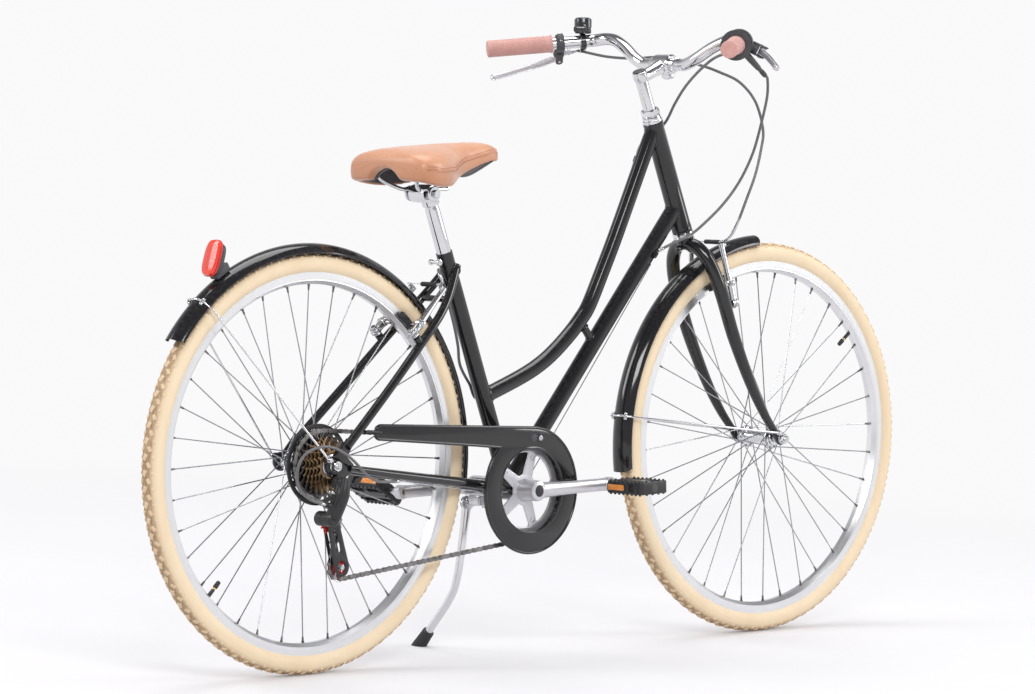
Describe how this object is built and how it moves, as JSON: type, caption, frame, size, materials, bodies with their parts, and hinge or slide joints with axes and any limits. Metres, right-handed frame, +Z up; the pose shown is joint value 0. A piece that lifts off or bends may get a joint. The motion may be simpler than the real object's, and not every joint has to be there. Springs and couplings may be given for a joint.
{
  "type": "city bicycle",
  "caption": "Step-through city bike on its side kickstand, with fenders, V-brakes, chain guard, swept handlebar, derailleur gears and a padded saddle.",
  "frame": {"origin": "on the ground under the middle of the bounding box", "axes": "+X is the way the bike rides, +Y its left side, +Z up; it leans 3.5 degrees to +Y on its stand"},
  "size_m": [1.785, 0.6634, 1.0873],
  "materials": {
    "black_paint": "gloss black lacquer",
    "black_plastic": "satin black",
    "grey_plastic": "dark grey, fine grain",
    "cream_tyre": "cream rubber, block tread",
    "rim_alloy": "satin with a machined brake track",
    "bright_alloy": "polished",
    "chrome": "mirror chrome",
    "spoke_steel": "drawn stainless wire",
    "sprocket_bronze": "brown oxide finish",
    "chain_steel": "grey-brown oiled steel",
    "tan_leather": "smooth tan cover",
    "pink_brown_rubber": "pinkish brown, satin",
    "red_plastic": "red, moulded",
    "cable_grey": "grey sleeve",
    "dark_chrome": "smoked chrome",
    "foot_rubber": "black rubber"
  },
  "bodies": {
    "frame_body": {"frame": "black_paint", "headset_upper_cup": "chrome", "headset_lower_cup": "chrome", "seat_collar": "black_paint", "chain_guard": "black_paint", "rear_axle": "chrome", "rear_fender": "black_paint", "rear_fender_stay": "chrome", "rear_reflector": "red_plastic", "chain": "chain_steel", "rear_derailleur": "black_plastic", "kickstand_bracket": "bright_alloy", "rear_brake_cable_rear": "cable_grey", "shift_cable_rear": "cable_grey"},
    "steering_body": {"fork": "black_paint", "front_axle": "chrome", "front_fender": "black_paint", "front_fender_stay": "chrome", "stem": "bright_alloy", "handlebar": "chrome", "grip_left": "pink_brown_rubber", "grip_right": "pink_brown_rubber", "brake_bracket_left": "bright_alloy", "brake_bracket_right": "bright_alloy", "bell": "dark_chrome", "shifter_housing": "grey_plastic", "front_brake_cable": "cable_grey", "rear_brake_cable_front": "cable_grey", "shift_cable_front": "cable_grey"},
    "front_wheel": {"front_tyre": "cream_tyre", "front_rim": "rim_alloy", "front_hub": "bright_alloy", "front_spokes": "spoke_steel"},
    "rear_wheel": {"rear_tyre": "cream_tyre", "rear_rim": "rim_alloy", "rear_hub": "bright_alloy", "rear_spokes": "spoke_steel", "spoke_protector": "black_plastic"},
    "freewheel_body": {"freewheel": "sprocket_bronze"},
    "crankset": {"crank_left": "bright_alloy", "crank_right": "bright_alloy"},
    "left_pedal": {"pedal_left": "black_plastic"},
    "right_pedal": {"pedal_right": "black_plastic"},
    "upper_jockey": {"jockey_wheel_upper": "red_plastic"},
    "lower_jockey": {"jockey_wheel_lower": "red_plastic"},
    "left_lever": {"brake_lever_left": "bright_alloy"},
    "right_lever": {"brake_lever_right": "bright_alloy"},
    "bell_striker": {"bell_lever": "dark_chrome"},
    "twist_grip": {"twist_sleeve": "grey_plastic"},
    "front_left_arm": {"front_brake_arm_left": "bright_alloy"},
    "front_right_arm": {"front_brake_arm_right": "bright_alloy"},
    "rear_left_arm": {"rear_brake_arm_left": "bright_alloy"},
    "rear_right_arm": {"rear_brake_arm_right": "bright_alloy"},
    "kickstand": {"kickstand_leg": "bright_alloy", "kickstand_foot": "foot_rubber"},
    "seat": {"seatpost": "chrome", "saddle_clamp": "chrome", "saddle_rails": "chrome", "saddle_base": "grey_plastic", "saddle_cushion": "tan_leather"}
  },
  "joints": [
    {"name": "steering", "type": "hinge", "parent": "frame_body", "child": "steering_body", "pos_m": [0.2625, -0.01107, 0.9113], "axis": [-0.3746, 0.0566, 0.9255], "range_deg": [-50, 50], "deforming": ["rear_brake_cable_front", "shift_cable_front"]},
    {"name": "front_wheel_spin", "type": "hinge", "parent": "steering_body", "child": "front_wheel", "pos_m": [0.5445, -0.04551, 0.34835], "axis": [0, 0.9981, -0.061], "continuous": true},
    {"name": "rear_wheel_spin", "type": "hinge", "parent": "frame_body", "child": "rear_wheel", "pos_m": [-0.5445, -0.04551, 0.34835], "axis": [0, 0.9981, -0.061], "continuous": true},
    {"name": "crank_spin", "type": "hinge", "parent": "frame_body", "child": "crankset", "pos_m": [-0.0875, -0.04929, 0.28646], "axis": [0, 0.9981, -0.061], "continuous": true},
    {"name": "freewheel_spin", "type": "hinge", "parent": "frame_body", "child": "freewheel_body", "pos_m": [-0.5445, -0.04551, 0.34835], "axis": [0, 0.9981, -0.061], "continuous": true},
    {"name": "jockey_upper_spin", "type": "hinge", "parent": "frame_body", "child": "upper_jockey", "pos_m": [-0.5225, -0.08554, 0.25562], "axis": [0, 0.9981, -0.061], "continuous": true},
    {"name": "jockey_lower_spin", "type": "hinge", "parent": "frame_body", "child": "lower_jockey", "pos_m": [-0.5025, -0.09018, 0.17976], "axis": [0, 0.9981, -0.061], "continuous": true},
    {"name": "pedal_left_spin", "type": "hinge", "parent": "crankset", "child": "left_pedal", "pos_m": [-0.25746, 0.0982, 0.27358], "axis": [0, 0.9981, -0.061], "continuous": true},
    {"name": "pedal_right_spin", "type": "hinge", "parent": "crankset", "child": "right_pedal", "pos_m": [0.08246, -0.19678, 0.29935], "axis": [0, 0.9981, -0.061], "continuous": true},
    {"name": "brake_lever_left_pull", "type": "hinge", "parent": "steering_body", "child": "left_lever", "pos_m": [0.26778, 0.23759, 1.00904], "axis": [0.3171, 0.5943, 0.7391], "range_deg": [0, 22], "stiffness_Nm_per_rad": 0.4, "springref_deg": -5.73},
    {"name": "brake_lever_right_pull", "type": "hinge", "parent": "steering_body", "child": "right_lever", "pos_m": [0.2987, -0.22892, 1.04903], "axis": [-0.1851, 0.3328, -0.9247], "range_deg": [0, 22], "stiffness_Nm_per_rad": 0.4, "springref_deg": -5.73},
    {"name": "front_brake_left_close", "type": "hinge", "parent": "steering_body", "child": "front_left_arm", "pos_m": [0.41962, 0.01938, 0.59019], "axis": [0.9848, 0.0106, 0.1736], "range_deg": [0, 2.4]},
    {"name": "front_brake_right_close", "type": "hinge", "parent": "steering_body", "child": "front_right_arm", "pos_m": [0.41962, -0.08043, 0.59629], "axis": [0.9848, 0.0106, 0.1736], "range_deg": [-2.4, 0]},
    {"name": "rear_brake_left_close", "type": "hinge", "parent": "frame_body", "child": "rear_left_arm", "pos_m": [-0.34995, 0.01387, 0.55749], "axis": [-0.678, 0.0449, 0.7337], "range_deg": [-3.4, 0]},
    {"name": "rear_brake_right_close", "type": "hinge", "parent": "frame_body", "child": "rear_right_arm", "pos_m": [-0.34995, -0.07895, 0.56317], "axis": [-0.678, 0.0449, 0.7337], "range_deg": [0, 3.4]},
    {"name": "shifter_twist", "type": "hinge", "parent": "steering_body", "child": "twist_grip", "pos_m": [0.21464, -0.24523, 1.05998], "axis": [0.8015, 0.5955, 0.0539], "range_deg": [0, 140]},
    {"name": "bell_flick", "type": "hinge", "parent": "steering_body", "child": "bell_striker", "pos_m": [0.26925, 0.17696, 1.06316], "axis": [0, 0.061, 0.9981], "range_deg": [0, 22], "stiffness_Nm_per_rad": 0.03, "springref_deg": -5.73},
    {"name": "kickstand_fold", "type": "hinge", "parent": "frame_body", "child": "kickstand", "pos_m": [-0.1465, -0.01688, 0.25944], "axis": [-0.4047, 0.8047, -0.4344], "range_deg": [0, 100]},
    {"name": "seatpost_slide", "type": "slide", "parent": "frame_body", "child": "seat", "axis": [-0.3584, 0.057, 0.9318], "range_m": [-0.06, 0.03]}
  ],
  "couplings": [
    {"joint": "freewheel_spin", "follows": "crank_spin", "ratio": 1.5},
    {"joint": "jockey_lower_spin", "follows": "crank_spin", "ratio": 4.2},
    {"joint": "jockey_upper_spin", "follows": "crank_spin", "ratio": -4.2},
    {"joint": "front_brake_left_close", "follows": "brake_lever_left_pull", "ratio": 0.105},
    {"joint": "front_brake_right_close", "follows": "brake_lever_left_pull", "ratio": -0.105},
    {"joint": "rear_brake_left_close", "follows": "brake_lever_right_pull", "ratio": -0.15},
    {"joint": "rear_brake_right_close", "follows": "brake_lever_right_pull", "ratio": 0.15}
  ]
}
